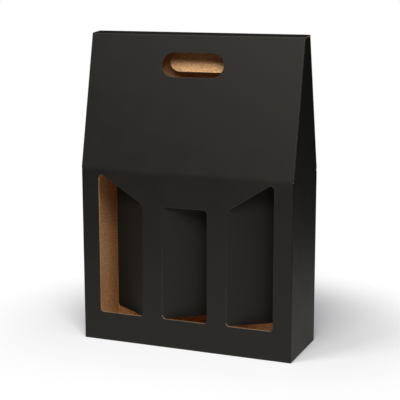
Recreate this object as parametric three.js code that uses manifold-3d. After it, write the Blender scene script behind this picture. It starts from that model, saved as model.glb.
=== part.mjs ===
// Gift carton for three bottles, folded from one die-cut sheet of micro-flute board.
// The sheet is black outside and brown inside.
// Millimetres, +Z up, front towards -Y, origin at the middle of the base.
import * as THREE from 'three';
import { mergeVertices } from 'three/addons/utils/BufferGeometryUtils.js';
import Module from 'manifold-3d';

const wasm = await Module();
wasm.setup();

// Sheet
const board = 1.5; // thickness of the sheet
const creaseGap = 0.3; // left between two panels at their common fold
const cutGap = 0.4; // left by the die between a flap and its hole
const layerGap = 0.3; // between sheets that lie on each other

// Sleeve
const boxWidth = 250; // outside, left to right
const boxDepth = 87; // outside, front to rear
const eaveHeight = 198; // fold between the walls and the roof
const seamWidth = 28; // glue flap inside the right side wall
const seamInset = 5; // glue flap's ends stand back from the wall's
const seamSlope = 8; // how far its ends slant across its width
const seamEdge = 0.5; // right side wall's raw edge stands back from the rear face

// Roof
const ridgeHeight = 349; // front fold of the ridge strip
const ridgeWidth = 19; // across the slopes' outer faces at the top
const ridgeRise = 1.5; // rear slope's top edge stands higher than the front fold
const tuckWidth = 208; // tuck flap, at its fold
const tuckBelowSlot = 19; // tuck flap's lower edge to its slot
const tuckTaper = 6; // each side draws in by this much
const tuckCorner = 14;
const gussetGive = THREE.MathUtils.degToRad(7); // a gusset can be pushed in by this much, up to the tuck flap
const gussetTopClearance = 2.2; // below the ridge's front fold
const gussetClearance = 0.7; // to the slopes' inner faces
const gussetCorner = 3;

// Handle
const slotWidth = 73;
const slotHeight = 27;
const slotDrop = 20; // ridge's front fold to the slot's upper edge
const tuckSlotDrop = 18.3; // ridge's rear fold to the upper edge of the slot in the tuck flap
const tongueSwing = THREE.MathUtils.degToRad(33);

// Windows and their flaps
const windowWidth = 54.3;
const windowMargin = 21.2; // outer corner of the box to the outer windows
const windowSill = 33.4;
const windowHead = 1.4; // eave to the outer windows' peaks, on their free sides
const windowDrop = 35; // from the peaks to the top edge at the folds and over the middle window
const windowCorner = 4; // all but the upper end of each fold, which is sharp
const flapSwing = THREE.MathUtils.degToRad(33);

// Snap-lock base
const rearFlapDepth = 56; // past the middle of the base
const notchDepth = 18; // cut into the rear flap's free edge
const notchClearance = 1.5; // on each side of the tongue
const frontFlapDepth = 42; // to its shoulders
const lockWidth = 120; // tongue
const lockRoot = 27; // tongue's fold, from the front wall's inner face
const lockReach = 15; // tongue lies on the rear flap for this much
const sideFlapClearance = 4.7; // side flaps' free ends to the notch
const sideFlapTip = 48; // width at the free end
const bottomCorner = 4;

const blackBoard = 0x2b2a28;
const kraftBoard = 0xb08a64;

const halfWidth = boxWidth / 2;
const halfDepth = boxDepth / 2;
const windowPeak = eaveHeight - windowHead;
const windowLow = windowPeak - windowDrop;
const tuckDepth = tuckSlotDrop + slotHeight + tuckBelowSlot;
const gussetHeight = ridgeHeight - eaveHeight - gussetTopClearance;
const cutterOverrun = 1; // cutting shapes stand past the sheet by this much
const arcSegments = 8;

// Slopes, seen from the side: (run, rise) from each eave to the top
const slopeRun = halfDepth - ridgeWidth / 2;
const frontLean = Math.atan2(slopeRun, ridgeHeight - eaveHeight);
const frontLength = Math.hypot(slopeRun, ridgeHeight - eaveHeight);
const rearRise = ridgeHeight + ridgeRise - eaveHeight;
const rearLean = Math.atan2(slopeRun, rearRise);
const rearLength = Math.hypot(slopeRun, rearRise);

// The ridge strip runs from the front fold to the tuck flap, which lies one layer inside the rear slope
const ridgeTilt = Math.atan2(ridgeRise, ridgeWidth);
const frontBend = Math.PI / 2 - frontLean - ridgeTilt;
const tuckBend = Math.PI / 2 - rearLean + ridgeTilt;
const rearFaceToFold = ridgeWidth * Math.cos(rearLean) + ridgeRise * Math.sin(rearLean);
const ridgeLength = (rearFaceToFold - board - layerGap) / Math.cos(ridgeTilt - rearLean);
const tuckFold = new THREE.Vector2(
  ridgeLength * Math.cos(ridgeTilt) - ridgeWidth / 2,
  ridgeLength * Math.sin(ridgeTilt) + ridgeHeight,
);
const tuckFoldOnRear =
  (halfDepth - tuckFold.x) * Math.sin(rearLean) + (tuckFold.y - eaveHeight) * Math.cos(rearLean);

// Solids for cutting and joining
function toSolid(geometry) {
  const bare = geometry.clone();
  bare.deleteAttribute('normal');
  bare.deleteAttribute('uv');
  const merged = mergeVertices(bare, 1e-5);
  const mesh = new wasm.Mesh({
    numProp: 3,
    vertProperties: new Float32Array(merged.attributes.position.array),
    triVerts: new Uint32Array(merged.index.array),
  });
  return new wasm.Manifold(mesh);
}

function toGeometry(solid) {
  const mesh = solid.getMesh();
  const geometry = new THREE.BufferGeometry();
  geometry.setAttribute('position', new THREE.BufferAttribute(mesh.vertProperties, 3));
  geometry.setIndex(new THREE.BufferAttribute(mesh.triVerts, 1));
  geometry.computeVertexNormals();
  return geometry;
}

function cut(geometry, cutters) {
  let solid = toSolid(geometry);
  for (const cutter of cutters) {
    solid = solid.subtract(toSolid(cutter));
  }
  return toGeometry(solid);
}

function common(first, second) {
  return toGeometry(toSolid(first).intersect(toSolid(second)));
}

// Outline from corners [x, y, radius], with each radius as a true arc
function outline(corners) {
  const shape = new THREE.Shape();
  corners.forEach(([x, y, radius = 0], i) => {
    const corner = new THREE.Vector2(x, y);
    const before = new THREE.Vector2(...corners.at(i - 1).slice(0, 2)).sub(corner).normalize();
    const after = new THREE.Vector2(...corners[(i + 1) % corners.length].slice(0, 2)).sub(corner).normalize();
    const halfAngle = Math.acos(before.dot(after)) / 2;
    const start = corner.clone().addScaledVector(before, radius / Math.tan(halfAngle));
    if (i === 0) {
      shape.moveTo(start.x, start.y);
    } else {
      shape.lineTo(start.x, start.y);
    }
    if (radius > 0) {
      const middle = before.clone().add(after).normalize();
      const centre = corner.clone().addScaledVector(middle, radius / Math.sin(halfAngle));
      const end = corner.clone().addScaledVector(after, radius / Math.tan(halfAngle));
      const startAngle = start.clone().sub(centre).angle();
      const endAngle = end.clone().sub(centre).angle();
      shape.absarc(centre.x, centre.y, radius, startAngle, endAngle, before.cross(after) > 0);
    }
  });
  shape.closePath();
  return shape;
}

function extrude(shape, depth) {
  return new THREE.ExtrudeGeometry(shape, { depth, bevelEnabled: false, curveSegments: arcSegments });
}

// A panel frame has x across the panel, y from its outer face inwards and z up the panel
function upright(shape, thickness) {
  return extrude(shape, thickness).rotateX(Math.PI / 2).translate(0, thickness, 0);
}

function cutter(shape) {
  return upright(shape, board + 2 * cutterOverrun).translate(0, -cutterOverrun, 0);
}

// A strip of one (y, z) section, across the given width
function strip(section, width) {
  const [xAxis, yAxis, zAxis] = [0, 1, 2].map((i) => new THREE.Vector3().setComponent(i, 1));
  const turn = new THREE.Matrix4().makeBasis(yAxis, zAxis, xAxis);
  return extrude(section, width).applyMatrix4(turn).translate(-width / 2, 0, 0);
}

const carton = new THREE.Group();

function place(parent, name, geometry, color) {
  const material = new THREE.MeshStandardMaterial({ color, roughness: 0.85, metalness: 0 });
  const mesh = new THREE.Mesh(geometry, material);
  mesh.name = name;
  parent.add(mesh);
}

// A hinged panel's frame stands on its fold
function fold(parent, [x, y, z], turn) {
  const frame = new THREE.Group();
  frame.position.set(x, y, z);
  frame.rotation.set(turn.x ?? 0, 0, turn.z ?? 0);
  parent.add(frame);
  return frame;
}

// Frame of one side of the sleeve: its outer face, seen from outside
function side(angle, distance) {
  const frame = new THREE.Group();
  frame.position.set(distance * Math.sin(angle), -distance * Math.cos(angle), 0);
  frame.rotation.z = angle;
  carton.add(frame);
  return frame;
}

const front = side(0, halfDepth);
const right = side(Math.PI / 2, halfWidth);
const rear = side(Math.PI, halfDepth);
const left = side(-Math.PI / 2, halfWidth);

// A wall's plan: a folded end takes its half of the rounded corner, a cut end is square
function wallPlan(start, end) {
  const half = Math.asin(creaseGap / 2 / board);
  const inner = creaseGap / Math.SQRT2;
  const shape = new THREE.Shape();
  if (start.folded) {
    shape.moveTo(start.x + inner, board);
    shape.absarc(start.x, board, board, -0.75 * Math.PI + half, -0.5 * Math.PI, false);
  } else {
    shape.moveTo(start.x, board);
    shape.lineTo(start.x, 0);
  }
  if (end.folded) {
    shape.absarc(end.x, board, board, -0.5 * Math.PI, -0.25 * Math.PI - half, false);
    shape.lineTo(end.x - inner, board);
  } else {
    shape.lineTo(end.x, 0);
    shape.lineTo(end.x, board);
  }
  shape.closePath();
  return shape;
}

// Windows: the folds are on the dividers between bottles, and toFree points from a fold to the flap's free edge
const windowPitch = (boxWidth - 2 * windowMargin - windowWidth) / 2;
const windows = [
  { name: 'left', hinge: -windowPitch + windowWidth / 2, toFree: -1, peak: windowPeak },
  { name: 'middle', hinge: -windowWidth / 2, toFree: 1, peak: windowLow },
  { name: 'right', hinge: windowPitch - windowWidth / 2, toFree: 1, peak: windowPeak },
];

// Outline of a window, or of its flap when the die's gap is taken off every cut edge; x runs from the fold
function windowOutline({ toFree, peak }, foldEdge, gap) {
  const slope = (peak - windowLow) / windowWidth;
  const drop = gap * Math.hypot(1, slope);
  const free = windowWidth - gap;
  return outline([
    [toFree * foldEdge, windowSill + gap, windowCorner],
    [toFree * free, windowSill + gap, windowCorner],
    [toFree * free, windowLow + slope * free - drop, windowCorner],
    [toFree * foldEdge, windowLow + slope * foldEdge - drop],
  ]);
}

function windowCutter(opening) {
  return cutter(windowOutline(opening, -creaseGap / 2, 0)).translate(opening.hinge, 0, 0);
}

function makeSleeve() {
  const wallHeight = eaveHeight - creaseGap / 2;
  const folded = (x) => ({ x, folded: true });
  const innerWidth = halfWidth - board;
  const innerDepth = halfDepth - board;
  const wall = (start, end) => extrude(wallPlan(start, end), wallHeight);

  const frontWall = wall(folded(-innerWidth), folded(innerWidth));
  place(front, 'front_wall', cut(frontWall, windows.map(windowCutter)), blackBoard);
  place(rear, 'rear_wall', wall(folded(board - innerWidth), folded(innerWidth)), blackBoard);
  place(left, 'left_side_wall', wall(folded(-innerDepth), folded(innerDepth)), blackBoard);
  place(right, 'right_side_wall', wall(folded(-innerDepth), { x: halfDepth - seamEdge }), blackBoard);

  const seamStart = innerDepth - seamWidth;
  const seam = wall({ x: seamStart }, folded(innerDepth));
  const ends = outline([
    [seamStart, seamInset + seamSlope],
    [halfDepth, seamInset],
    [halfDepth, eaveHeight - seamInset],
    [seamStart, eaveHeight - seamInset - seamSlope],
  ]);
  place(right, 'side_seam_flap', common(seam, cutter(ends)).translate(0, board, 0), kraftBoard);
}

// A flap that is cut out of a panel swings inwards about a line on the panel's inner face
function makeWindowFlaps() {
  for (const opening of windows) {
    const flap = upright(windowOutline(opening, creaseGap / 2, cutGap), board).translate(0, -board, 0);
    const frame = fold(front, [opening.hinge, board, 0], { z: opening.toFree * flapSwing });
    place(frame, `${opening.name}_window_flap`, flap, blackBoard);
  }
}

// Snap-lock base: rear flap on top, side flaps under it, front flap outermost, its tongue through the notch
function makeBase() {
  const step = board + layerGap;
  const edge = board + creaseGap; // a flap starts this far inside the outer face of its wall
  const clearHalf = halfWidth - edge;
  const plate = (corners, level) => extrude(outline(corners), board).translate(0, 0, level * step);

  const lockHalf = lockWidth / 2;
  const notchHalf = lockHalf + notchClearance;
  const shoulder = edge + frontFlapDepth;
  const root = edge + lockRoot;
  place(front, 'front_bottom_flap', plate([
    [-clearHalf, edge],
    [clearHalf, edge],
    [clearHalf - bottomCorner, shoulder, bottomCorner],
    [notchHalf, shoulder],
    [notchHalf, root],
    [-notchHalf, root],
    [-notchHalf, shoulder],
    [bottomCorner - clearHalf, shoulder, bottomCorner],
  ], 0), blackBoard);

  const rearEdge = edge + rearFlapDepth;
  place(rear, 'rear_bottom_flap', plate([
    [-clearHalf, edge],
    [clearHalf, edge],
    [clearHalf - bottomCorner, rearEdge, bottomCorner],
    [notchHalf, rearEdge, bottomCorner],
    [notchHalf, rearEdge - notchDepth],
    [-notchHalf, rearEdge - notchDepth],
    [-notchHalf, rearEdge, bottomCorner],
    [bottomCorner - clearHalf, rearEdge, bottomCorner],
  ], 2), kraftBoard);

  const sideRoot = halfDepth - edge - bottomCorner;
  const sideTip = sideFlapTip / 2;
  const sideEnd = halfWidth - notchHalf - sideFlapClearance;
  for (const [frame, name] of [[left, 'left_bottom_flap'], [right, 'right_bottom_flap']]) {
    place(frame, name, plate([
      [-sideRoot, edge],
      [sideRoot, edge],
      [sideTip, sideEnd, bottomCorner],
      [-sideTip, sideEnd, bottomCorner],
    ], 1), blackBoard);
  }

  // The tongue climbs from the front flap through the notch and lies on the rear flap
  const climbEnd = boxDepth - rearEdge + notchDepth - board;
  const start = root + creaseGap;
  const climbMiddle = (start + climbEnd) / 2;
  const top = 3 * step;
  const tip = climbEnd + lockReach;
  const section = new THREE.Shape();
  section.moveTo(start, 0);
  section.bezierCurveTo(climbMiddle, 0, climbMiddle, top, climbEnd, top);
  section.lineTo(tip, top);
  section.lineTo(tip, top + board);
  section.lineTo(climbEnd, top + board);
  section.bezierCurveTo(climbMiddle, top + board, climbMiddle, board, start, board);
  section.closePath();
  const rounded = outline([
    [-lockHalf, start],
    [lockHalf, start],
    [lockHalf, tip, bottomCorner * 2],
    [-lockHalf, tip, bottomCorner * 2],
  ]);
  const tongue = common(strip(section, lockWidth), extrude(rounded, top + step));
  place(front, 'bottom_lock_tongue', tongue, blackBoard);
}

// Obround slot, or the tongue in it when the die's gap is taken off its cut edge, from its upper edge downwards
function slotOutline(upperEdge, gap, down) {
  const radius = slotHeight / 2;
  const straight = slotWidth / 2 - radius;
  const shape = new THREE.Shape();
  shape.moveTo(-straight, down * upperEdge);
  shape.lineTo(straight, down * upperEdge);
  shape.absarc(straight, down * radius, radius - gap, -down * Math.PI / 2, down * Math.PI / 2, down < 0);
  shape.absarc(-straight, down * radius, radius - gap, down * Math.PI / 2, down * 1.5 * Math.PI, down < 0);
  shape.closePath();
  return shape;
}

// Section of a roof panel: relieved at the eave for its inward lean, mitred where it bends into the next one
function roofSection(lean, length, bend) {
  const foldEnd = creaseGap / 2;
  const topGap = bend > 0 ? foldEnd : 0;
  return new THREE.Shape([
    new THREE.Vector2(0, foldEnd),
    new THREE.Vector2(0, length - topGap),
    new THREE.Vector2(board, length - topGap - board * Math.tan(bend / 2)),
    new THREE.Vector2(board, foldEnd + board * Math.tan(lean)),
  ]);
}

function makeRoof() {
  const foldEnd = creaseGap / 2;
  const slotAt = (z) => cutter(slotOutline(0, 0, -1)).translate(0, 0, z);

  // Front slope, ridge and tuck flap follow each other
  const frontRoof = fold(front, [0, 0, eaveHeight], { x: -frontLean });
  const frontPanel = strip(roofSection(frontLean, frontLength, frontBend), boxWidth);
  place(frontRoof, 'front_roof_panel', cut(frontPanel, [slotAt(frontLength - slotDrop)]), blackBoard);

  const ridge = fold(frontRoof, [0, 0, frontLength], { x: -frontBend });
  const ridgeSection = new THREE.Shape([
    new THREE.Vector2(0, foldEnd),
    new THREE.Vector2(0, ridgeLength - foldEnd),
    new THREE.Vector2(board, ridgeLength - foldEnd - board * Math.tan(tuckBend / 2)),
    new THREE.Vector2(board, foldEnd + board * Math.tan(frontBend / 2)),
  ]);
  place(ridge, 'ridge_strip', strip(ridgeSection, boxWidth), blackBoard);

  const tuck = fold(ridge, [0, 0, ridgeLength], { x: -tuckBend });
  const tuckSection = new THREE.Shape([
    new THREE.Vector2(0, foldEnd),
    new THREE.Vector2(0, tuckDepth),
    new THREE.Vector2(board, tuckDepth),
    new THREE.Vector2(board, foldEnd + board * Math.tan(tuckBend / 2)),
  ]);
  const tuckHalf = tuckWidth / 2;
  const tuckOutline = outline([
    [-tuckHalf, 0],
    [tuckHalf, 0],
    [tuckHalf - tuckTaper, tuckDepth, tuckCorner],
    [tuckTaper - tuckHalf, tuckDepth, tuckCorner],
  ]);
  const tuckPanel = common(strip(tuckSection, tuckWidth), cutter(tuckOutline));
  const tuckSlot = cutter(slotOutline(-foldEnd, 0, 1)).translate(0, 0, tuckSlotDrop);
  place(tuck, 'tuck_flap', cut(tuckPanel, [tuckSlot]), blackBoard);

  const tuckTongue = fold(tuck, [0, board, tuckSlotDrop], { x: -tongueSwing });
  const tongue = upright(slotOutline(foldEnd, cutGap, 1), board).translate(0, -board, 0);
  place(tuckTongue, 'tuck_handle_tongue', tongue, kraftBoard);

  // The rear slope lies over the tuck flap, with its slot in line
  const rearRoof = fold(rear, [0, 0, eaveHeight], { x: -rearLean });
  const rearPanel = strip(roofSection(rearLean, rearLength, 0), boxWidth);
  const rearSlot = tuckFoldOnRear - tuckSlotDrop;
  place(rearRoof, 'rear_roof_panel', cut(rearPanel, [slotAt(rearSlot)]), blackBoard);
  const rearTongue = upright(slotOutline(creaseGap, cutGap, -1), board).translate(0, 0, rearSlot);
  place(rearRoof, 'rear_handle_tongue', rearTongue, blackBoard);
}

// A gusset stands on its side wall, in one plane with it, and fills its end of the gable
function makeGussets() {
  const sheet = strip(roofSection(gussetGive, gussetHeight, 0), boxDepth);
  const edge = (lean, z) => halfDepth - z * Math.tan(lean) - board / Math.cos(lean) - gussetClearance;
  for (const [frame, name, toRear] of [[left, 'left_gusset', -1], [right, 'right_gusset', 1]]) {
    const shape = outline([
      [-toRear * edge(frontLean, 0), 0],
      [toRear * edge(rearLean, 0), 0],
      [toRear * edge(rearLean, gussetHeight), gussetHeight, gussetCorner],
      [-toRear * edge(frontLean, gussetHeight), gussetHeight, gussetCorner],
    ]);
    place(fold(frame, [0, 0, eaveHeight], {}), name, common(sheet, cutter(shape)), blackBoard);
  }
}

makeSleeve();
makeWindowFlaps();
makeBase();
makeRoof();
makeGussets();

export default carton;
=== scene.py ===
# Gift carton for three bottles: one die-cut sheet of micro-flute board, black outside and brown inside
import math

import bmesh
import bpy
from mathutils import Matrix, Vector
from mathutils.geometry import interpolate_bezier, tessellate_polygon


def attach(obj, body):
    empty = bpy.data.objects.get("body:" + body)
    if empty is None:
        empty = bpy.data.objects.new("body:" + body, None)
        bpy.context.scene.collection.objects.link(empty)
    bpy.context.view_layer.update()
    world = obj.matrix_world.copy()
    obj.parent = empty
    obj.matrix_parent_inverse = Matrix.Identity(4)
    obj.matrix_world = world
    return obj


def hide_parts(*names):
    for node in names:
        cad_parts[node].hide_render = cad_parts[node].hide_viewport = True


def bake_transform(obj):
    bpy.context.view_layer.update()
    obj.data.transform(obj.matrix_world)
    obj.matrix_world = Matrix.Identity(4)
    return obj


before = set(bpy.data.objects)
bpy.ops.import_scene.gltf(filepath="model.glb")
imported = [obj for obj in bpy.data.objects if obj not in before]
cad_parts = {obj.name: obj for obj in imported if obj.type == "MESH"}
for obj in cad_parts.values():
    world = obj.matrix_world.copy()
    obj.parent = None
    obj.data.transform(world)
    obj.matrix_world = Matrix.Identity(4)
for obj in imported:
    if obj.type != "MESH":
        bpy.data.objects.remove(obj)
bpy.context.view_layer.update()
scene = bpy.context.scene
scene.view_settings.view_transform = "Standard"
mm = 0.001


def toLinear(hexColour):
    channels = [int(hexColour[i:i + 2], 16) / 255 for i in (1, 3, 5)]
    return [c / 12.92 if c <= 0.04045 else ((c + 0.055) / 1.055) ** 2.4 for c in channels] + [1]


# Each input is a value, or another node's output to link
def addNode(tree, kind, settings=None, inputs=None):
    node = tree.nodes.new(kind)
    for name, value in (settings or {}).items():
        setattr(node, name, value)
    for name, value in (inputs or {}).items():
        if isinstance(value, bpy.types.NodeSocket):
            tree.links.new(value, node.inputs[name])
        else:
            node.inputs[name].default_value = value
    return node


def addMath(tree, operation, *terms):
    return addNode(tree, "ShaderNodeMath", {"operation": operation}, dict(enumerate(terms))).outputs[0]


# A Mix node takes its colours at sockets 6 and 7, and gives the result at 2
def mixColours(tree, share, first, second):
    return addNode(tree, "ShaderNodeMix", {"data_type": "RGBA"}, {0: share, 6: first, 7: second}).outputs[2]


def addNoise(tree, place, size, detail):  # size in mm
    inputs = {"Vector": place, "Scale": 1 / (size * mm), "Detail": detail}
    return addNode(tree, "ShaderNodeTexNoise", inputs=inputs).outputs["Fac"]


# From the carton outwards, in degrees: azimuth from the front towards the right, elevation upwards
def direction(azimuth, elevation):
    azimuth, elevation = math.radians(azimuth), math.radians(elevation)
    level = math.cos(elevation)
    return Vector((math.sin(azimuth) * level, -math.cos(azimuth) * level, math.sin(elevation)))


# Camera
viewpoint = {
    "azimuth": 22.101, "elevation": 11.318, "roll": -0.092,  # degrees
    "distance": 1.2934, "aimRight": 0.0015, "aimUp": -0.0309, "aimHeight": 0.195,  # metres
    "clip": (0.05, 50),  # metres
    "lens": 103.64, "sensor": 36,  # mm
}


def makeCamera(v):
    back = direction(v["azimuth"], v["elevation"])
    right = Vector((0, 0, 1)).cross(back).normalized()
    up = back.cross(right)
    camera = bpy.data.objects.new("camera", bpy.data.cameras.new("camera"))
    camera.data.lens = v["lens"]
    camera.data.sensor_width = v["sensor"]
    camera.data.clip_start, camera.data.clip_end = v["clip"]
    spot = Vector((0, 0, v["aimHeight"])) + v["aimRight"] * right + v["aimUp"] * up + v["distance"] * back
    turn = Matrix((right, up, back)).transposed().to_4x4()
    camera.matrix_world = Matrix.Translation(spot) @ turn @ Matrix.Rotation(math.radians(v["roll"]), 4, "Z")
    scene.collection.objects.link(camera)
    scene.camera = camera


makeCamera(viewpoint)
print("camera placed")

# Studio: white paper on a dark floor, soft boxes round the camera and overhead, and one for the back alone
studio = {
    "paper": "#f2f2f2", "seenPaper": "#f8faff",  # as it lights the carton, and as the camera sees it
    "studioFloor": "#4e4e50", "floorSize": 8,
    "paperMiddle": (0.1, -0.04, 0), "paperEdge": (0.25, 0.7),  # metres: where paper gives way to the floor
    "clearMiddle": (0, 0.03, 0), "clearEdge": (0.14, 0.32),  # metres: where the shadow clears to white
    "room": "#dfe8f4", "roomStrength": 0.03,
    "target": (0, 0, 0.18), "lampDistance": 1.7,
    "lamps": {
        "rightBox": {"azimuth": 30, "elevation": 40, "size": (0.6, 0.9), "watts": 15.5, "colour": "#fffcf6"},
        "frontBox": {"azimuth": 5, "elevation": 40, "size": (0.6, 0.4), "watts": 10.3, "colour": "#fffcf6"},
        "leftBox": {"azimuth": -35, "elevation": 48, "size": (0.6, 0.4), "watts": 9.1, "colour": "#fffcf6"},
        "topBox": {"azimuth": 23, "elevation": 78, "size": (0.6, 0.4), "watts": 6.3, "colour": "#ffffff"},
        "rearBox": {"azimuth": 165, "elevation": 28, "size": (2.0, 0.6), "watts": 24, "colour": "#ffffff"},
    },
    "flagged": "rearBox",  # lights the rear panels and nothing else
}
rearPanels = bpy.data.collections.new("rear panels")


def makeLamps(s):
    for name, lamp in s["lamps"].items():
        light = bpy.data.lights.new(name, "AREA")
        light.shape = "RECTANGLE"
        light.size, light.size_y = lamp["size"]
        light.energy = lamp["watts"]
        light.color = toLinear(lamp["colour"])[:3]
        away = direction(lamp["azimuth"], lamp["elevation"])
        lampObject = bpy.data.objects.new(name, light)
        lampObject.location = Vector(s["target"]) + away * s["lampDistance"]
        lampObject.rotation_euler = away.to_track_quat("Z", "Y").to_euler()
        scene.collection.objects.link(lampObject)
        if name == s["flagged"]:
            lampObject.light_linking.receiver_collection = rearPanels


# The room is dim, but the camera sees white behind the carton
def makeRoom(s):
    world = bpy.data.worlds.new("room")
    scene.world = world
    world.use_nodes = True
    tree = world.node_tree
    tree.nodes.clear()
    path = addNode(tree, "ShaderNodeLightPath")
    seen = addMath(tree, "MAXIMUM", path.outputs["Is Camera Ray"], path.outputs["Is Transmission Ray"])
    dim = {"Color": toLinear(s["room"]), "Strength": s["roomStrength"]}
    room = addNode(tree, "ShaderNodeBackground", inputs=dim)
    white = addNode(tree, "ShaderNodeBackground", inputs={"Color": (1, 1, 1, 1), "Strength": 1})
    mix = addNode(tree, "ShaderNodeMixShader", inputs={0: seen, 1: room.outputs[0], 2: white.outputs[0]})
    addNode(tree, "ShaderNodeOutputWorld", inputs={"Surface": mix.outputs[0]})


# The paper keeps the shadow near the carton and, for the camera alone, clears to white further out
def makeFloor(s):
    material = bpy.data.materials.new("white paper floor")
    material.use_nodes = True
    tree = material.node_tree
    tree.nodes.clear()
    seen = addNode(tree, "ShaderNodeLightPath").outputs["Is Camera Ray"]
    place = addNode(tree, "ShaderNodeTexCoord").outputs["Object"]

    def fade(middle, edge):
        reach = addNode(tree, "ShaderNodeVectorMath", {"operation": "DISTANCE"}, {0: place, 1: middle})
        inputs = {"Value": reach.outputs["Value"], "From Min": edge[0], "From Max": edge[1]}
        return addNode(tree, "ShaderNodeMapRange", {"interpolation_type": "SMOOTHSTEP"}, inputs).outputs[0]

    clear = addMath(tree, "MULTIPLY", fade(s["clearMiddle"], s["clearEdge"]), seen)
    past = fade(s["paperMiddle"], s["paperEdge"])
    shade = mixColours(tree, past, toLinear(s["paper"]), toLinear(s["studioFloor"]))
    tint = mixColours(tree, seen, shade, toLinear(s["seenPaper"]))
    paper = addNode(tree, "ShaderNodeBsdfDiffuse", inputs={"Color": tint})
    white = addNode(tree, "ShaderNodeEmission", inputs={"Strength": 1})
    mix = addNode(tree, "ShaderNodeMixShader", inputs={0: clear, 1: paper.outputs[0], 2: white.outputs[0]})
    addNode(tree, "ShaderNodeOutputMaterial", inputs={"Surface": mix.outputs[0]})

    half = s["floorSize"] / 2
    corners = [(-half, -half, 0), (half, -half, 0), (half, half, 0), (-half, half, 0)]
    mesh = bpy.data.meshes.new("floor")
    mesh.from_pydata(corners, [], [(0, 1, 2, 3)])
    mesh.materials.append(material)
    floor = bpy.data.objects.new("floor", mesh)
    scene.collection.objects.link(floor)


makeLamps(studio)
makeRoom(studio)
makeFloor(studio)
print("studio lit")

# Materials. Patterns follow the flat sheet: its own UV map holds metres across and along the flutes.
flutePitch = 3.3  # mm
blackPaper = {  # black-dyed kraft liner, calendered: matt, with faint fibres and a ghost of the flutes below
    # The lighter edge colour here is partly dye rubbed off at the cut edges and partly a painted highlight
    "colour": "#100f0d", "light": "#151411", "wornAndPaintedHighlight": "#33302b", "roughness": 0.54, "roughnessSpread": 0.06,
    "gloss": 0.29, "fibreShare": 0.55, "fluteShare": 0.12,
    "cloud": 26, "fibreLength": 2.4, "fibreWidth": 0.5, "relief": 0.05,  # mm
}
kraftPaper = {  # unbleached kraft liner: warm brown, duller, with fibres drawn coarse enough to show
    "colour": "#c49362", "light": "#f1c693", "dark": "#6b4a2c", "roughness": 0.86, "roughnessSpread": 0.06,
    "gloss": 0.3, "fibreShare": 0.85, "fluteShare": 0.7,
    "cloud": 14, "fibreLength": 4.0, "fibreWidth": 1.3, "fleck": 1.9, "relief": 0.06,  # mm
}
paperGrain = {  # of both liners
    "cloudDetail": 3, "fibreDetail": 4, "fibreRoughness": 0.6, "fibreWander": 0.6, "toneRange": (0.35, 0.65),
    "fleckDetail": 2, "fleckRange": (0.48, 0.74), "fleckDepth": 0.6, "bump": 0.35, "ior": 1.5,
}
flutingPulp = {  # semi-chemical fluting, seen only on cut edges
    "colour": "#b2a28f", "fleckColour": "#8a7967", "roughness": 0.9, "grainDetail": 3,
    "grain": 0.8,  # mm
}


def startMaterial(name):
    material = bpy.data.materials.new(name)
    material.use_nodes = True
    return material, material.node_tree, material.node_tree.nodes["Principled BSDF"]


def linerMaterial(name, p):
    material, tree, shader = startMaterial(name)
    place = addNode(tree, "ShaderNodeUVMap", {"uv_map": "sheet"}).outputs[0]
    cloud = addNoise(tree, place, p["cloud"], paperGrain["cloudDetail"])
    stretch = addNode(tree, "ShaderNodeMapping", inputs={
        "Vector": place, "Scale": (1 / (p["fibreLength"] * mm), 1 / (p["fibreWidth"] * mm), 1),
    })
    fibre = addNode(tree, "ShaderNodeTexNoise", inputs={
        "Vector": stretch.outputs[0], "Scale": 1, "Detail": paperGrain["fibreDetail"],
        "Roughness": paperGrain["fibreRoughness"], "Distortion": paperGrain["fibreWander"],
    }).outputs["Fac"]
    tone = addNode(tree, "ShaderNodeMix", {"data_type": "FLOAT"}, {0: p["fibreShare"], 2: cloud, 3: fibre})
    low, high = paperGrain["toneRange"]
    ramp = addNode(tree, "ShaderNodeMapRange", inputs={
        "Value": tone.outputs[0], "From Min": low, "From Max": high,
    })
    colour = mixColours(tree, ramp.outputs[0], toLinear(p["colour"]), toLinear(p["light"]))
    if "wornAndPaintedHighlight" in p:  # cut edges lighter: dye rubbed off by handling, plus a painted highlight along the edge
        wearAndPaintedHighlight = addNode(tree, "ShaderNodeAttribute", {"attribute_name": "wearAndPaintedHighlight"}).outputs["Fac"]
        colour = mixColours(tree, addMath(tree, "MULTIPLY", wearAndPaintedHighlight, fibre), colour, toLinear(p["wornAndPaintedHighlight"]))
    if "dark" in p:  # flecks of bark and knots in unbleached pulp
        low, high = paperGrain["fleckRange"]
        fleck = addNode(tree, "ShaderNodeMapRange", inputs={
            "Value": addNoise(tree, place, p["fleck"], paperGrain["fleckDetail"]),
            "From Min": low, "From Max": high, "To Max": paperGrain["fleckDepth"],
        })
        colour = mixColours(tree, fleck.outputs[0], colour, toLinear(p["dark"]))
    rough = addNode(tree, "ShaderNodeMapRange", inputs={
        "Value": cloud,
        "To Min": p["roughness"] - p["roughnessSpread"], "To Max": p["roughness"] + p["roughnessSpread"],
    })
    across = addNode(tree, "ShaderNodeSeparateXYZ", inputs={0: place}).outputs[0]
    flute = addMath(tree, "SINE", addMath(tree, "MULTIPLY", across, 2 * math.pi / (flutePitch * mm)))
    bump = addNode(tree, "ShaderNodeBump", inputs={
        "Height": addMath(tree, "MULTIPLY_ADD", flute, p["fluteShare"], fibre),
        "Strength": paperGrain["bump"], "Distance": p["relief"] * mm,
    })
    tree.links.new(colour, shader.inputs["Base Color"])
    tree.links.new(rough.outputs[0], shader.inputs["Roughness"])
    tree.links.new(bump.outputs[0], shader.inputs["Normal"])
    shader.inputs["IOR"].default_value = paperGrain["ior"]
    shader.inputs["Specular IOR Level"].default_value = p["gloss"]
    return material


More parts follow.
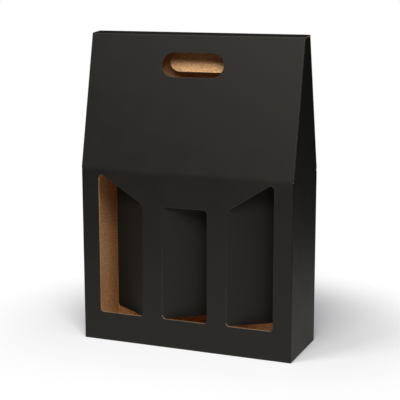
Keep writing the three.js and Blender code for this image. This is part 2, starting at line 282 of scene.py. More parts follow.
def rawPaperMaterial(name, p):
    material, tree, shader = startMaterial(name)
    place = addNode(tree, "ShaderNodeTexCoord").outputs["Object"]
    pulp = addNoise(tree, place, p["grain"], p["grainDetail"])
    colour = mixColours(tree, pulp, toLinear(p["colour"]), toLinear(p["fleckColour"]))
    tree.links.new(colour, shader.inputs["Base Color"])
    shader.inputs["Roughness"].default_value = p["roughness"]
    return material


blackLiner = linerMaterial("black kraft liner", blackPaper)
kraftLiner = linerMaterial("brown kraft liner", kraftPaper)
flutingPaper = rawPaperMaterial("brown fluting paper", flutingPulp)
plies = [blackLiner, kraftLiner, flutingPaper]
outerPly, innerPly, flutePly = range(3)
print("materials ready")

# The sheet, in mm and degrees
sheet = {
    "thickness": 1.5, "liner": 0.25, "paper": 0.2, "wearAndPaintedHighlightBand": 0.8, "lip": 1.2, "crush": 0.5, "cutGap": 0.4,
    "rollAngles": (0, 30, 60, 90), "smoothAngle": 35,
    "arcSteps": 8, "fluteSteps": 8, "cornerSteps": 5, "creaseSteps": 10,
    "arcTurn": 0.3,  # sine of the sharpest turn within an arc
    "lipWearAndPaintedHighlight": 0.5,  # share of the wear and painted highlight on other cut edges
}
thickness = sheet["thickness"]
hair = 0.001  # too small to see
# How far short of each kind of edge the outer liner, the inner liner and the fluting stop
edgeReach = {
    "cut": (0, 0, 0.05), "open": (0, 0, 1.2), "rolled": (0, 0.4, 0.5), "wrap": (0, 0, 0),
    "flap": (0.02, 0.15, 0.15), "hinge": (0.4, 0.3, 0.4), "eave": (3.2, 0.6, 3.2), "gusset": (2.5, 1.0, 2.5),
    "ridge": (1.6, 1.5, 1.6), "base": (1.5, 1.7, 1.7),
}


# Corners are (across, along, radius, edge to the next corner). A loop is its points and the edge after each.
def drawLoop(corners, hole=False):
    points, kinds = [], []
    for i, (u, v, radius, kind) in enumerate(corners):
        corner = Vector((u, v))
        before = (Vector(corners[i - 1][:2]) - corner).normalized()
        after = (Vector(corners[(i + 1) % len(corners)][:2]) - corner).normalized()
        if not radius:
            points.append(corner)
            kinds.append(kind)
            continue
        half = before.angle(after) / 2
        centre = corner + (before + after).normalized() * radius / math.sin(half)
        start = corner + before * radius / math.tan(half) - centre
        end = corner + after * radius / math.tan(half) - centre
        first = math.atan2(start.y, start.x)
        sweep = (math.atan2(end.y, end.x) - first + math.pi) % (2 * math.pi) - math.pi
        for k in range(sheet["arcSteps"] + 1):
            angle = first + sweep * k / sheet["arcSteps"]
            points.append(centre + radius * Vector((math.cos(angle), math.sin(angle))))
            kinds.append("cut" if k < sheet["arcSteps"] else kind)
    return orient(points, kinds, hole)


def orient(points, kinds, hole):
    count = len(points)
    area = sum(points[i - 1].cross(points[i]) for i in range(count))
    if (area > 0) == hole:
        points = points[::-1]
        kinds = [kinds[(count - 2 - i) % count] for i in range(count)]
    return points, kinds


def slotLoop(straight, radius, top, kind, hole=False, edge="cut", lift=0):
    points, kinds = [], []
    steps = 2 * sheet["arcSteps"]
    for sign in (1, -1):
        for k in range(steps + 1):
            angle = sign * math.pi / 2 - math.pi * k / steps
            height = top - radius + radius * math.sin(angle)
            points.append(Vector((sign * straight + radius * math.cos(angle), height)))
            kinds.append(edge)
    kinds[-1] = kind  # the last point closes along the upper edge
    for end in (0, -1):
        points[end].y += lift
    return orient(points, kinds, hole)


def insetLoop(loop, shifts):
    points, kinds = loop
    normals = []
    for i, point in enumerate(points):
        along = (points[(i + 1) % len(points)] - point).normalized()
        normals.append(Vector((-along.y, along.x)))
    moved = []
    for i, point in enumerate(points):
        a, b = normals[i - 1], normals[i]
        da, db = shifts[kinds[i - 1]], shifts[kinds[i]]
        cross = a.cross(b)
        if abs(cross) < sheet["arcTurn"]:  # along an arc
            moved.append(point + (a + b).normalized() * max(da, db))
        else:
            moved.append(point + Vector((da * b.y - db * a.y, db * a.x - da * b.x)) / cross)
    return moved


# A board is built in a bmesh, layer by layer. Its coordinates are across, inwards from the outer face, along.
def startBoard():
    bm = bmesh.new()
    # A per-vertex layer marks where cut edges lighten: wear plus a painted highlight
    return {"bm": bm, "uv": bm.loops.layers.uv.new("sheet"), "wearAndPaintedHighlight": bm.verts.layers.float.new("wearAndPaintedHighlight"),
            "verts": {}, "flat": {}, "layer": 0}


def boardVert(board, panel, u, n, v, flat=None, wearAndPaintedHighlight=0):
    key = (board["layer"], round(u, 4), round(n, 4), round(v, 4))
    vert = board["verts"].get(key)
    if vert is None:
        vert = board["bm"].verts.new(panel @ Vector((u, n, v)) * mm)
        vert[board["wearAndPaintedHighlight"]] = wearAndPaintedHighlight
        board["verts"][key] = vert
        board["flat"][vert] = flat or (u, v)
    return vert


def boardFace(board, corners, ply):
    ring = [vert for i, vert in enumerate(corners) if vert is not corners[i - 1]]
    if len(set(ring)) < 3 or len(set(ring)) < len(ring) or board["bm"].faces.get(ring):
        return
    board["bm"].faces.new(ring).material_index = ply


def addLiner(board, panel, loops, ply):
    board["layer"] += 1
    roll = sheet["liner"]  # cut edges are rolled over by the die
    # Towards a cut the liner lightens over these bands: wear, plus a painted highlight on the rolled edge
    bands = [(sheet["wearAndPaintedHighlightBand"], 0, 0)]
    for angle in map(math.radians, sheet["rollAngles"]):
        bands.append((roll * (1 - math.sin(angle)), roll * (1 - math.cos(angle)), 1))
    rows = []
    for cutInset, depth, wearAndPaintedHighlight in bands:
        shifts = {kind: reach[ply] for kind, reach in edgeReach.items()}
        for kind in ("cut", "open", "rolled"):
            shifts[kind] += cutInset
        n = depth if ply == outerPly else thickness - depth
        flat = [insetLoop(loop, shifts) for loop in loops]
        verts = [[boardVert(board, panel, p.x, n, p.y, wearAndPaintedHighlight=wearAndPaintedHighlight) for p in points] for points in flat]
        rows.append((flat, verts))
    for k, ((_, upper), (_, lower)) in enumerate(zip(rows, rows[1:])):
        for (points, kinds), a, b in zip(loops, upper, lower):
            for i in range(len(points)):
                j = (i + 1) % len(points)
                raw = ply == innerPly and k > 0 and kinds[i] == "cut"  # bare pulp at the cut
                boardFace(board, [a[i], a[j], b[j], b[i]], flutePly if raw else ply)
    for flat, verts in (rows[0], rows[-1]):
        ordered = [vert for ring in verts for vert in ring]
        for triangle in tessellate_polygon([[p.to_3d() for p in points] for points in flat]):
            boardFace(board, [ordered[i] for i in triangle], ply)


# Long cuts are crushed by the rule: the outer liner is drawn down over the raw edge as a lip
def addLips(board, panel, loops):
    board["layer"] += 1
    near = {kind: reach[outerPly] for kind, reach in edgeReach.items()}
    far = {**near, "rolled": sheet["paper"]}
    section = ((near, sheet["liner"]), (near, sheet["lip"]), (far, sheet["lip"]), (far, sheet["liner"]))
    for loop in loops:
        points, kinds = loop
        rings = [(insetLoop(loop, shifts), n) for shifts, n in section]

        # Lips take part of the lighter edge colour: wear plus a painted highlight
        def lipAt(k):
            return [boardVert(board, panel, ring[k].x, n, ring[k].y, wearAndPaintedHighlight=sheet["lipWearAndPaintedHighlight"])
                    for ring, n in rings]

        for i, kind in enumerate(kinds):
            if kind != "rolled":
                continue
            j = (i + 1) % len(points)
            a, b = lipAt(i), lipAt(j)
            for k in range(len(section)):
                boardFace(board, [a[k - 1], b[k - 1], b[k], a[k]], outerPly)
            for end, neighbour in ((a, kinds[i - 1]), (b, kinds[j])):
                if neighbour != "rolled":
                    boardFace(board, end, outerPly)


# A closed strip through rows of four points: outer and inner at one end, then at the other
def addStrip(board, rows, innerFace):
    for a, b in zip(rows, rows[1:]):
        boardFace(board, [a[0], b[0], b[2], a[2]], outerPly)
        boardFace(board, [a[1], a[3], b[3], b[1]], innerFace)
        boardFace(board, [a[0], a[1], b[1], b[0]], outerPly)
        boardFace(board, [a[2], b[2], b[3], a[3]], outerPly)
    for row in (rows[0], rows[-1]):
        boardFace(board, [row[0], row[2], row[3], row[1]], outerPly)


# Half of a folded corner of the sleeve: the outer liner goes round it
def addCorner(board, panel, edge, sign, ends):
    rows = []
    for k in range(sheet["cornerSteps"] + 1):
        angle = math.pi / 4 * k / sheet["cornerSteps"]
        flat = edge + sign * thickness * angle
        row = []
        for v in ends:
            for r in (thickness, thickness - sheet["liner"]):
                u, n = edge + sign * r * math.sin(angle), thickness - r * math.cos(angle)
                row.append(boardVert(board, panel, u, n, v, (flat, v)))
        rows.append(row)
    addStrip(board, rows, outerPly)


# Fluted paper: a flat sheet cut to the panel's outline goes in, and comes out as waves of real paper
def makeFluteTree():
    tree = bpy.data.node_groups.new("fluted paper", "GeometryNodeTree")
    tree.interface.new_socket("Geometry", in_out="INPUT", socket_type="NodeSocketGeometry")
    for name in ("Flute pitch", "Wave height", "Paper", "Middle"):
        tree.interface.new_socket(name, in_out="INPUT", socket_type="NodeSocketFloat")
    tree.interface.new_socket("Fluting", in_out="INPUT", socket_type="NodeSocketMaterial")
    tree.interface.new_socket("Geometry", in_out="OUTPUT", socket_type="NodeSocketGeometry")
    group = addNode(tree, "NodeGroupInput").outputs
    position = addNode(tree, "GeometryNodeInputPosition").outputs[0]
    across = addNode(tree, "ShaderNodeSeparateXYZ", inputs={0: position}).outputs[0]
    count = addMath(tree, "DIVIDE", across, group["Flute pitch"])
    wave = addMath(tree, "SINE", addMath(tree, "MULTIPLY", count, 2 * math.pi))
    rise = addMath(tree, "MULTIPLY_ADD", wave, group["Wave height"], group["Middle"])
    shift = addNode(tree, "ShaderNodeCombineXYZ", inputs={"Y": rise}).outputs[0]
    moved = {"Geometry": group["Geometry"], "Offset": shift}
    waved = addNode(tree, "GeometryNodeSetPosition", inputs=moved).outputs[0]
    thick = addNode(tree, "GeometryNodeExtrudeMesh", {"mode": "FACES"}, {
        "Mesh": waved, "Offset": (0, 1, 0), "Offset Scale": group["Paper"], "Individual": False,
    })
    under = addNode(tree, "GeometryNodeFlipFaces", inputs={"Mesh": waved})
    both = addNode(tree, "GeometryNodeJoinGeometry")
    for skin in (thick, under):
        tree.links.new(skin.outputs["Mesh"], both.inputs["Geometry"])
    welds = {"Geometry": both.outputs[0], "Distance": hair * mm}
    welded = addNode(tree, "GeometryNodeMergeByDistance", inputs=welds).outputs[0]
    real = addNode(tree, "GeometryNodeRealizeInstances", inputs={"Geometry": welded}).outputs[0]
    paint = {"Geometry": real, "Material": group["Fluting"]}
    painted = addNode(tree, "GeometryNodeSetMaterial", inputs=paint).outputs[0]
    addNode(tree, "NodeGroupOutput", inputs={"Geometry": painted})
    return tree


fluteTree = makeFluteTree()


def addFlutes(board, panel, loops):
    shifts = {kind: reach[flutePly] for kind, reach in edgeReach.items()}
    rings = [insetLoop(loop, shifts) for loop in loops]
    edges = [(a, b) for ring in rings for a, b in zip(ring, ring[1:] + ring[:1])]
    low = min(a.x for a, _ in edges) + hair
    high = max(a.x for a, _ in edges) - hair
    steps = math.ceil((high - low) * sheet["fluteSteps"] / flutePitch)
    points, quads, last = [], [], []
    for k in range(steps + 1):
        u = low + (high - low) * k / steps
        crossed = [(a, b) for a, b in edges if (a.x <= u) != (b.x <= u)]
        cuts = sorted(a.y + (u - a.x) * (b.y - a.y) / (b.x - a.x) for a, b in crossed)
        row = range(len(points), len(points) + len(cuts))
        points += [(u * mm, 0, v * mm) for v in cuts]
        if len(row) == len(last):
            quads += [(last[i], row[i], row[i + 1], last[i + 1]) for i in range(0, len(row), 2)]
        last = row
    flat = bpy.data.meshes.new("flat fluting")
    flat.from_pydata(points, [], quads)
    carrier = bpy.data.objects.new("fluting", flat)
    scene.collection.objects.link(carrier)
    space = thickness - 2 * sheet["liner"]
    values = {
        "Flute pitch": flutePitch * mm, "Paper": sheet["paper"] * mm, "Fluting": flutingPaper,
        "Wave height": (space - sheet["paper"]) / 2 * mm, "Middle": (thickness - sheet["paper"]) / 2 * mm,
    }
    modifier = carrier.modifiers.new("flutes", "NODES")
    modifier.node_group = fluteTree
    for item in fluteTree.interface.items_tree:
        if item.in_out == "INPUT" and item.name in values:
            modifier[item.identifier] = values[item.name]
    waves = bpy.data.meshes.new_from_object(carrier.evaluated_get(bpy.context.evaluated_depsgraph_get()))
    bpy.data.objects.remove(carrier)
    waves.transform(Matrix.Scale(mm, 4) @ panel @ Matrix.Scale(1 / mm, 4))
    waves.polygons.foreach_set("material_index", [flutePly] * len(waves.polygons))
    board["bm"].from_mesh(waves)
    bpy.data.meshes.remove(waves)
    bpy.data.meshes.remove(flat)


def finishBoard(board, name, origin):
    bm = board["bm"]
    bmesh.ops.recalc_face_normals(bm, faces=bm.faces)
    for face in bm.faces:
        for corner in face.loops:
            u, v = board["flat"].get(corner.vert, (0, 0))
            corner[board["uv"]].uv = ((u + origin[0]) * mm, (v + origin[1]) * mm)
    mesh = bpy.data.meshes.new(name)
    bm.to_mesh(mesh)
    bm.free()
    for material in plies:
        mesh.materials.append(material)
    mesh.shade_smooth()
    mesh.set_sharp_from_angle(angle=math.radians(sheet["smoothAngle"]))
    piece = bpy.data.objects.new(name, mesh)
    scene.collection.objects.link(piece)
    if name.startswith("rear"):
        rearPanels.objects.link(piece)
    return piece


# Bends a flat board so that its outer face follows a path of (along, height) points
def bendBoard(board, panel, path):
    bm = board["bm"]
    for along, _ in path:
        bmesh.ops.bisect_plane(bm, geom=bm.verts[:] + bm.edges[:] + bm.faces[:], dist=hair * mm,
                               plane_co=(0, 0, along * mm), plane_no=(0, 0, 1))
    for vert in bm.verts:
        u, n, v = vert.co / mm
        board["flat"].setdefault(vert, (u, v))
        k = min(range(len(path)), key=lambda i: abs(path[i][0] - v))
        before, after = path[max(k - 1, 0)], path[min(k + 1, len(path) - 1)]
        tilt = math.atan2(after[1] - before[1], after[0] - before[0]) if 0 < k < len(path) - 1 else 0
        vert.co = panel @ Vector((u, path[k][1] + n * math.cos(tilt), v - n * math.sin(tilt))) * mm
    bm.normal_update()


def makePanel(name, body, panel, outline, holes=(), corners=(), origin=(0, 0), path=None):
    board = startBoard()
    loops = [outline, *holes]
    flat = Matrix() if path else panel
    addLiner(board, flat, loops, outerPly)
    addLips(board, flat, loops)
    for corner in corners:
        addCorner(board, flat, *corner)
    addLiner(board, flat, loops, innerPly)
    addFlutes(board, flat, loops)
    if path:
        bendBoard(board, panel, path)
    piece = finishBoard(board, name + "_board", origin)
    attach(piece, body)
    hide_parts(name)


# A crease joins two panels. In its section, points are (inwards, past the fold along the first panel).
def creaseRound(radius, bend, steps, start=0):
    section = []
    for k in range(steps + 1):
        angle = bend * k / steps
        section.append([(radius - r * math.cos(angle), r * math.sin(angle) - start)
                        for r in (radius, radius - sheet["crush"])])
    return section


def creaseSection(bend, reach, inside):
    steps = sheet["creaseSteps"]
    if inside:  # hinge line on the inner face: the outer liner goes round it
        return creaseRound(thickness, bend, steps)
    if bend:  # hinge line on the outer face: a round that is tangent to both panels
        return creaseRound(reach / math.tan(bend / 2), bend, steps, reach)
    return [[(depth, reach * (2 * k / steps - 1)) for depth in (0, sheet["crush"])] for k in range(steps + 1)]


def makeCrease(name, bodies, panel, place, span, bend, kind, inside=False, origin=(0, 0), farSpan=None,
               section=None):
    board = startBoard()
    section = section or creaseSection(bend, edgeReach[kind][outerPly], inside)
    rows = []
    for k, pair in enumerate(section):
        share = k / (len(section) - 1)
        ends = [a + (b - a) * share for a, b in zip(span, farSpan or span)]
        rows.append([boardVert(board, panel, *place(*point, along)) for along in ends for point in pair])
    addStrip(board, rows, innerPly)
    middle = (span[0] + span[1]) / 2
    start, end = (panel @ Vector(place(*section[k][0], middle)) * mm for k in (0, -1))
    piece = finishBoard(board, name + "_crease", origin)
    if len(bodies) == 2:
        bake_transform(piece)
    else:
        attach(piece, bodies[0])


# Carton, in mm
carton = {
    "width": 250, "depth": 87, "eave": 198, "ridge": 349, "ridgeWidth": 19, "ridgeRise": 1.5, "layerGap": 0.3,
    "seamWidth": 28, "seamInset": 5, "seamSlope": 8, "seamEdge": 0.5, "wallTop": 197.85, "cornerFoot": 0.4,
    "seamOrigin": (500, 0), "baseOrigin": (0, -200),  # places on the flat sheet
}
halfWidth, halfDepth = carton["width"] / 2, carton["depth"] / 2
wide, deep = halfWidth - thickness, halfDepth - thickness
seamSide = thickness - wide  # edge of the rear wall at the seam
eave = carton["eave"]
slopeRun = halfDepth - carton["ridgeWidth"] / 2
frontRise = carton["ridge"] - eave
rearRise = frontRise + carton["ridgeRise"]
frontLean, rearLean = math.atan2(slopeRun, frontRise), math.atan2(slopeRun, rearRise)
frontLength, rearLength = math.hypot(slopeRun, frontRise), math.hypot(slopeRun, rearRise)
ridgeTilt = math.atan2(carton["ridgeRise"], carton["ridgeWidth"])
frontBend = math.pi / 2 - frontLean - ridgeTilt
tuckBend = math.pi / 2 - rearLean + ridgeTilt
faceToFold = carton["ridgeWidth"] * math.cos(rearLean) + carton["ridgeRise"] * math.sin(rearLean)
ridgeLength = (faceToFold - thickness - carton["layerGap"]) / math.cos(ridgeTilt - rearLean)
rearOffset = carton["width"] + carton["depth"]  # on the flat sheet, from the front's middle to the rear's
sideOffset = rearOffset / 2


def side(angle, distance):
    return Matrix.Rotation(angle, 4, "Z") @ Matrix.Translation((0, -distance, 0))


def fold(parent, point, axis, angle):
    return parent @ Matrix.Translation(point) @ Matrix.Rotation(angle, 4, axis)


def foldInside(parent, u, v, axis, angle):  # about a line on the inner face
    return fold(parent, (u, thickness, v), axis, angle) @ Matrix.Translation((0, -thickness, 0))


front, right = side(0, halfDepth), side(math.pi / 2, halfWidth)
rear, left = side(math.pi, halfDepth), side(-math.pi / 2, halfWidth)

# Windows and their flaps
windowCut = {
    "width": 54.3, "margin": 21.2, "sill": 33.4, "head": 1.4, "drop": 35, "corner": 4,
    "swing": math.radians(33),
}
windowPeak = eave - windowCut["head"]
windowLow = windowPeak - windowCut["drop"]
windowPitch = halfWidth - windowCut["margin"] - windowCut["width"] / 2
windows = [  # name, hinge, side of the free edge, top of that edge
    ("left", -windowPitch + windowCut["width"] / 2, -1, windowPeak),
    ("middle", -windowCut["width"] / 2, 1, windowLow),
    ("right", windowPitch - windowCut["width"] / 2, 1, windowPeak),
]


def windowLoop(hinge, toFree, peak, gap, hole):
    slope = (peak - windowLow) / windowCut["width"]
    drop = gap * math.hypot(1, slope)
    free = windowCut["width"] - gap
    radius = windowCut["corner"]
    return drawLoop([
        (hinge, windowCut["sill"] + gap, radius, "cut"),
        (hinge + toFree * free, windowCut["sill"] + gap, radius, "cut"),
        (hinge + toFree * free, windowLow + slope * free - drop, radius, "rolled"),
        (hinge, windowLow - drop, 0, "flap"),  # the cut runs straight into the fold
    ], hole)


def makeWindowFlaps():
    for name, hinge, toFree, peak in windows:
        panel = foldInside(front, hinge, 0, "Z", toFree * windowCut["swing"])
        points, kinds = windowLoop(0, toFree, peak, sheet["cutGap"], False)
        body = name + "_flap"
        makePanel(name + "_window_flap", body, panel, (points, kinds), origin=(hinge, 0))
        i = kinds.index("flap")
        farSpan = sorted((points[i].y, points[(i + 1) % len(points)].y))
        span = (windowCut["sill"] + windowCut["corner"], windowLow)
        makeCrease(body, ("sleeve", body), front, lambda n, t, along: (hinge + toFree * t, n, along), span,
                   windowCut["swing"], "flap", True, farSpan=farSpan)


# Gable roof
roof = {
    "tuckWidth": 208, "tuckBelowSlot": 19, "tuckTaper": 6, "tuckCorner": 14,
    "gussetTop": 1.9, "gussetClearance": 0.7, "gussetCorner": 3,
    "slotWidth": 73, "slotHeight": 27, "slotDrop": 20, "tuckSlotDrop": 18.3, "tongueSwing": math.radians(33),
}
slotRadius = roof["slotHeight"] / 2
slotStraight = roof["slotWidth"] / 2 - slotRadius
slotSpan = (-slotStraight, slotStraight)
tuckHalf = roof["tuckWidth"] / 2
frontRoof = fold(front, (0, 0, eave), "X", -frontLean)
ridge = fold(frontRoof, (0, 0, frontLength), "X", -frontBend)
tuck = fold(ridge, (0, 0, ridgeLength), "X", -tuckBend)
tuckTongue = foldInside(tuck, 0, roof["tuckSlotDrop"], "X", -roof["tongueSwing"])
rearRoof = fold(rear, (0, 0, eave), "X", -rearLean)
gussetHeight = frontRise - roof["gussetTop"]


def gussetEdges(z):  # front and rear edges of a gusset, from the middle of the box
    return [halfDepth - z * math.tan(lean) - thickness / math.cos(lean) - roof["gussetClearance"]
            for lean in (frontLean, rearLean)]


gussetFoot = gussetEdges(0)
gussetRise = sum(gussetEdges(gussetHeight)) * math.tan(ridgeTilt)  # its top follows the ridge strip


def foldAcross(height):  # where a crease's points lie on a panel that it crosses at this height
    return lambda n, t, along: (along, n, height + t)


def slopeLoop(length, topEdge):
    return drawLoop([
        (-halfWidth, 0, 0, "eave"), (halfWidth, 0, 0, "rolled"), (halfWidth, length, 0, topEdge),
        (-halfWidth, length, 0, "rolled"),
    ])


def turnOver(loop, hole=False):  # the tuck flap hangs down, so its slot is upside down
    points, kinds = loop
    return orient([Vector((p.x, -p.y)) for p in points], kinds, hole)


def makeFrontRoof():
    slot = slotLoop(slotStraight, slotRadius, frontLength - roof["slotDrop"], "rolled", True, "rolled")
    outline = slopeLoop(frontLength, "ridge")
    makePanel("front_roof_panel", "front_roof", frontRoof, outline, [slot], origin=(0, eave))
    makeCrease("front_eave", ("sleeve", "front_roof"), front, foldAcross(eave), (-wide, wide), frontLean,
               "eave", farSpan=(-halfWidth, halfWidth))

    origin = (0, eave + frontLength)
    strip = drawLoop([
        (-halfWidth, 0, 0, "ridge"), (halfWidth, 0, 0, "open"), (halfWidth, ridgeLength, 0, "cut"),
        (tuckHalf, ridgeLength, 0, "ridge"), (-tuckHalf, ridgeLength, 0, "cut"),
        (-halfWidth, ridgeLength, 0, "open"),
    ])
    makePanel("ridge_strip", "ridge", ridge, strip, origin=origin)
    makeCrease("ridge_front", ("front_roof", "ridge"), frontRoof, foldAcross(frontLength),
               (-halfWidth, halfWidth), frontBend, "ridge", origin=(0, eave))
    makeCrease("ridge_rear", ("ridge", "tuck"), ridge, foldAcross(ridgeLength), (-tuckHalf, tuckHalf),
               tuckBend, "ridge", origin=origin)


def makeTuck():
    drop, gap, corner = roof["tuckSlotDrop"], sheet["cutGap"], roof["tuckCorner"]
    depth = drop + roof["slotHeight"] + roof["tuckBelowSlot"]
    end = tuckHalf - roof["tuckTaper"]
    place = eave + frontLength + ridgeLength
    outline = drawLoop([
        (-tuckHalf, 0, 0, "ridge"), (tuckHalf, 0, 0, "cut"), (end, depth, corner, "cut"),
        (-end, depth, corner, "cut"),
    ])
    hole = turnOver(slotLoop(slotStraight, slotRadius, -drop, "flap"), True)
    makePanel("tuck_flap", "tuck", tuck, outline, [hole], origin=(0, place))
    tongue = turnOver(slotLoop(slotStraight, slotRadius - gap, -gap, "flap", lift=gap))
    makePanel("tuck_handle_tongue", "tuck_tongue", tuckTongue, tongue, origin=(0, place + drop))
    makeCrease("tuck_tongue", ("tuck", "tuck_tongue"), tuck, foldAcross(drop), slotSpan, roof["tongueSwing"],
               "flap", True, (0, place))


def makeRearRoof():
    gap, origin = sheet["cutGap"], (rearOffset, eave)
    ridgeEnd = ridge @ Vector((0, 0, ridgeLength))
    tuckTop = (halfDepth - ridgeEnd.y) * math.sin(rearLean) + (ridgeEnd.z - eave) * math.cos(rearLean)
    slotTop = tuckTop - roof["tuckSlotDrop"]  # level with the tuck flap's slot
    slot = slotLoop(slotStraight, slotRadius, slotTop, "hinge", True)
    outline = slopeLoop(rearLength, "rolled")
    makePanel("rear_roof_panel", "rear_roof", rearRoof, outline, [slot], origin=origin)
    makeCrease("rear_eave", ("sleeve", "rear_roof"), rear, foldAcross(eave), (seamSide, wide), rearLean,
               "eave", origin=(rearOffset, 0), farSpan=(-halfWidth, halfWidth))
    tongue = slotLoop(slotStraight, slotRadius - gap, slotTop - gap, "hinge", lift=gap)
    makePanel("rear_handle_tongue", "rear_tongue", rearRoof, tongue, origin=origin)
    makeCrease("rear_tongue", ("rear_roof", "rear_tongue"), rearRoof, foldAcross(slotTop), slotSpan, 0,
               "hinge", origin=origin)


def makeGussets():
    footFront, footRear = gussetFoot
    topFront, topRear = gussetEdges(gussetHeight)[0], gussetEdges(gussetHeight + gussetRise)[1]
    corner = roof["gussetCorner"]
    for name, panel, toRear in (("left_gusset", left, -1), ("right_gusset", right, 1)):
        outline = drawLoop([
            (-toRear * footFront, 0, 0, "gusset"), (toRear * footRear, 0, 0, "cut"),
            (toRear * topRear, gussetHeight + gussetRise, corner, "cut"),
            (-toRear * topFront, gussetHeight, corner, "cut"),
        ])
        gusset = panel @ Matrix.Translation((0, 0, eave))
        makePanel(name, name, gusset, outline, origin=(sideOffset * toRear, eave))
        span = sorted((-toRear * footFront, toRear * footRear))
        makeCrease(name, ("sleeve", name), panel, foldAcross(eave), span, 0, "gusset",
                   origin=(sideOffset * toRear, 0))


# Sleeve
def makeSleeve():
    top = carton["wallTop"]
    ends = (carton["cornerFoot"], top)

    def wallLoop(start, end):
        return drawLoop([
            (start, 0, 0, "base"), (end, 0, 0, "wrap"), (end, eave, 0, "eave"), (start, eave, 0, "wrap"),
        ])

    holes = [windowLoop(hinge, toFree, peak, 0, True) for _, hinge, toFree, peak in windows]
    corners = [(-wide, -1, ends), (wide, 1, ends)]
    makePanel("front_wall", "sleeve", front, wallLoop(-wide, wide), holes, corners)
    corners = [(seamSide, -1, ends), (wide, 1, ends)]
    makePanel("rear_wall", "sleeve", rear, wallLoop(seamSide, wide), (), corners, (rearOffset, 0))

    for name, panel, start, end in (("left_side_wall", left, -gussetFoot[1], gussetFoot[0]),
                                    ("right_side_wall", right, -gussetFoot[0], gussetFoot[1])):
        seamed = panel is right
        last = halfDepth - carton["seamEdge"] if seamed else deep
        outline = drawLoop([
            (-deep, 0, 0, "base"), (last, 0, 0, "rolled" if seamed else "wrap"), (last, top, 0, "cut"),
            (end, top, 0, "cut"), (end, eave, 0, "gusset"), (start, eave, 0, "cut"), (start, top, 0, "cut"),
            (-deep, top, 0, "wrap"),
        ])
        corners = [(-deep, -1, ends)] if seamed else [(-deep, -1, ends), (deep, 1, ends)]
        origin = (sideOffset if seamed else -sideOffset, 0)
        makePanel(name, "sleeve", panel, outline, (), corners, origin)

    # Glue flap of the rear wall, inside the right side wall
    seamStart, inset, slope = deep - carton["seamWidth"], carton["seamInset"], carton["seamSlope"]
    nearFold = inset + slope * thickness / (carton["seamWidth"] + thickness)
    outline = drawLoop([
        (seamStart, inset + slope, 0, "cut"), (deep, nearFold, 0, "wrap"), (deep, eave - nearFold, 0, "cut"),
        (seamStart, eave - inset - slope, 0, "cut"),
    ])
    panel = right @ Matrix.Translation((0, thickness, 0))
    corners = [(deep, 1, (nearFold, eave - nearFold))]
    makePanel("side_seam_flap", "sleeve", panel, outline, (), corners, carton["seamOrigin"])


# Snap-lock base
base = {
    "crease": 0.3, "rearFlapDepth": 56, "notchDepth": 18, "notchClearance": 1.5, "frontFlapDepth": 42,
    "lockWidth": 120, "lockRoot": 27, "lockReach": 15, "lockCorner": 8, "climbPoints": 12,
    "sideFlapClearance": 4.7, "sideFlapTip": 48, "corner": 4, "foldSteps": 6, "foldEnd": 0.2,
}
layDown = Matrix(((1, 0, 0, 0), (0, 0, 1, 0), (0, 1, 0, 0), (0, 0, 0, 1)))  # inwards goes up, along goes in


def cutLoop(half):  # an outline that is cut all round, from the corners (across, along, radius) of one half
    mirrored = [(-u, v, radius) for u, v, radius in half[::-1]]
    return drawLoop([(*corner, "cut") for corner in half + mirrored])


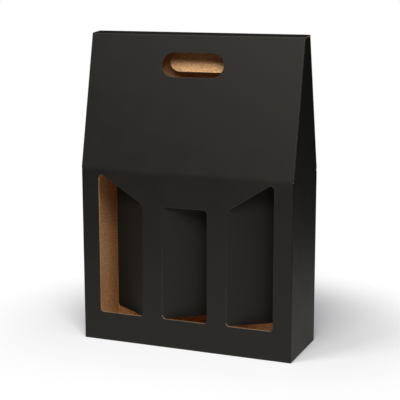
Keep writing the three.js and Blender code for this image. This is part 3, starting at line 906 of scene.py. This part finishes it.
def makeBase():
    step = thickness + carton["layerGap"]
    edge = thickness + base["crease"]
    clearHalf = halfWidth - edge
    corner = base["corner"]
    lockHalf = base["lockWidth"] / 2
    notchHalf = lockHalf + base["notchClearance"]
    shoulder, root = edge + base["frontFlapDepth"], edge + base["lockRoot"]
    rearEdge = edge + base["rearFlapDepth"]
    notchEnd = rearEdge - base["notchDepth"]
    sideRoot, sideTip = halfDepth - edge - corner, base["sideFlapTip"] / 2
    sideEnd = halfWidth - notchHalf - base["sideFlapClearance"]

    def lying(wall, level):
        return wall @ Matrix.Translation((0, 0, level * step)) @ layDown

    frontHalf = [(clearHalf, edge, 0), (clearHalf - corner, shoulder, corner), (notchHalf, shoulder, 0),
                 (notchHalf, root, 0)]
    rearHalf = [(clearHalf, edge, 0), (clearHalf - corner, rearEdge, corner), (notchHalf, rearEdge, corner),
                (notchHalf, notchEnd, 0)]
    sideHalf = [(sideRoot, edge, 0), (sideTip, sideEnd, corner)]
    walls = [  # name, wall, layer of the base, slot, half of the flap's outline, half of the wall's length
        ("front", front, 0, "black_board", frontHalf, halfWidth),
        ("rear", rear, 2, "kraft_board", rearHalf, halfWidth),
        ("left", left, 1, "black_board", sideHalf, halfDepth),
        ("right", right, 1, "black_board", sideHalf, halfDepth),
    ]
    for name, wall, level, slot, half, _ in walls:
        makePanel(name + "_bottom_flap", "sleeve", lying(wall, level), cutLoop(half),
                  origin=carton["baseOrigin"])

    # The tongue climbs through the notch and lies on the rear flap
    start, climbEnd, rise = root + base["crease"], carton["depth"] - notchEnd - thickness, 3 * step
    middle = (start + climbEnd) / 2
    knots = [Vector(knot) for knot in ((start, 0), (middle, 0), (middle, rise), (climbEnd, rise))]
    path = [tuple(point) for point in interpolate_bezier(*knots, base["climbPoints"])]
    outline = cutLoop([(lockHalf, start, 0), (lockHalf, climbEnd + base["lockReach"], base["lockCorner"])])
    makePanel("bottom_lock_tongue", "sleeve", lying(front, 0), outline, origin=carton["baseOrigin"],
              path=path)

    # Each wall's lower fold goes round under it and up to its flap
    low = edgeReach["base"][outerPly]
    for name, wall, level, _, _, end in walls:
        section = creaseRound(thickness, math.pi / 2, base["foldSteps"])
        if level:
            section.append([(edge, low - level * step), (edge - base["foldEnd"], low - level * step)])
        else:
            section.append([(edge, low), (edge, low - sheet["crush"])])
        span = (thickness - end, end - thickness)
        makeCrease(name + "_base", ("sleeve",), wall, lambda n, t, along: (along, n, low - t), span, 0,
                   "base", origin=carton["baseOrigin"], section=section)


makeSleeve()
print("sleeve built")
makeBase()
print("base built")
makeWindowFlaps()
print("window flaps built")
makeFrontRoof()
makeTuck()
makeRearRoof()
makeGussets()
print("roof built")
